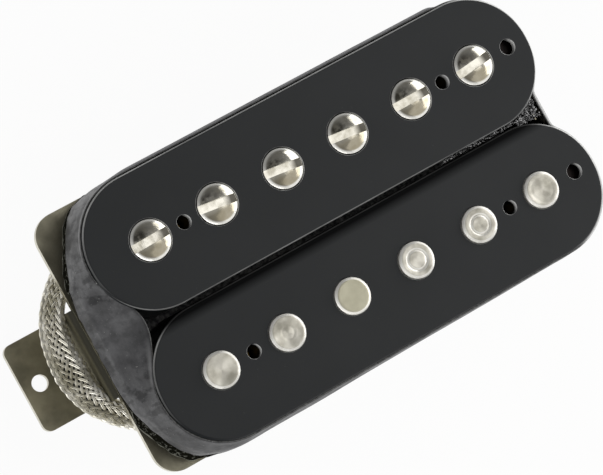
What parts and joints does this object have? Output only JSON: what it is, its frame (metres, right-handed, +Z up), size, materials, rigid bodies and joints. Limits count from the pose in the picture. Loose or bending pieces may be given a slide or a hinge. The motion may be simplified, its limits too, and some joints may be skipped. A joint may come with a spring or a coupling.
{
  "type": "guitar pickup",
  "caption": "Open double-coil magnetic pickup on a folded footed baseplate: a row of slotted pole screws beside a row of plain slugs, tape round the coils and a braided lead.",
  "frame": {"origin": "on the ground, midway between the undersides of the two mounting feet", "axes": "+X runs across the strings, along the rows of poles, away from the lead's bend; +Y runs along the strings, from the slug row to the screw row; +Z is up, towards the strings"},
  "size_m": [0.0838, 0.0392, 0.0296],
  "materials": {
    "nickel_silver": "satin, slightly tarnished",
    "magnet": "dark cast alloy, matt",
    "bar_steel": "plain, oiled",
    "spacer_plastic": "matt",
    "bobbin_plastic": "satin moulded",
    "copper_winding": "enamelled wire",
    "coil_tape": "satin",
    "wrap_tape": "satin paper tape",
    "nickel_plated_steel": "bright nickel plate",
    "slug_steel": "turned faces, nickel plate",
    "screw_brass": "bright",
    "solder": "dull, smooth",
    "wire_insulation": "waxed cloth",
    "sleeve_insulation": "matt sleeve",
    "tinned_braid": "tinned braid",
    "tie_plastic": "satin",
    "end_wire": "waxed cloth, tinned tip"
  },
  "bodies": {
    "pickup": {"baseplate": "nickel_silver", "magnet_bar": "magnet", "keeper_bar": "bar_steel", "spacer_bar": "spacer_plastic", "screw_bobbin": "bobbin_plastic", "slug_bobbin": "bobbin_plastic", "screw_coil_winding": "copper_winding", "slug_coil_winding": "copper_winding", "screw_coil_tape": "coil_tape", "slug_coil_tape": "coil_tape", "outer_wrap": "wrap_tape", "slug_1": "slug_steel", "slug_2": "slug_steel", "slug_3": "slug_steel", "slug_4": "slug_steel", "slug_5": "slug_steel", "slug_6": "slug_steel", "bobbin_fixing_screw_1": "screw_brass", "bobbin_fixing_screw_2": "screw_brass", "bobbin_fixing_screw_3": "screw_brass", "bobbin_fixing_screw_4": "screw_brass", "solder_joint": "solder", "lead_core_wire": "wire_insulation", "splice_sleeve": "sleeve_insulation", "coil_lead_wire": "wire_insulation", "coil_link_wire": "wire_insulation", "lead": "tinned_braid", "lead_coil": "tinned_braid", "lead_tie": "tie_plastic", "lead_end_conductor": "end_wire"},
    "screw_1": {"pole_screw_1": "nickel_plated_steel"},
    "screw_2": {"pole_screw_2": "nickel_plated_steel"},
    "screw_3": {"pole_screw_3": "nickel_plated_steel"},
    "screw_4": {"pole_screw_4": "nickel_plated_steel"},
    "screw_5": {"pole_screw_5": "nickel_plated_steel"},
    "screw_6": {"pole_screw_6": "nickel_plated_steel"}
  },
  "joints": [
    {"name": "pole_screw_1_height", "type": "slide", "parent": "pickup", "child": "screw_1", "axis": [0, 0, 1], "range_m": [-0.0007, 0.003]},
    {"name": "pole_screw_2_height", "type": "slide", "parent": "pickup", "child": "screw_2", "axis": [0, 0, 1], "range_m": [-0.0007, 0.003]},
    {"name": "pole_screw_3_height", "type": "slide", "parent": "pickup", "child": "screw_3", "axis": [0, 0, 1], "range_m": [-0.0007, 0.003]},
    {"name": "pole_screw_4_height", "type": "slide", "parent": "pickup", "child": "screw_4", "axis": [0, 0, 1], "range_m": [-0.0007, 0.003]},
    {"name": "pole_screw_5_height", "type": "slide", "parent": "pickup", "child": "screw_5", "axis": [0, 0, 1], "range_m": [-0.0007, 0.003]},
    {"name": "pole_screw_6_height", "type": "slide", "parent": "pickup", "child": "screw_6", "axis": [0, 0, 1], "range_m": [-0.0007, 0.003]}
  ]
}
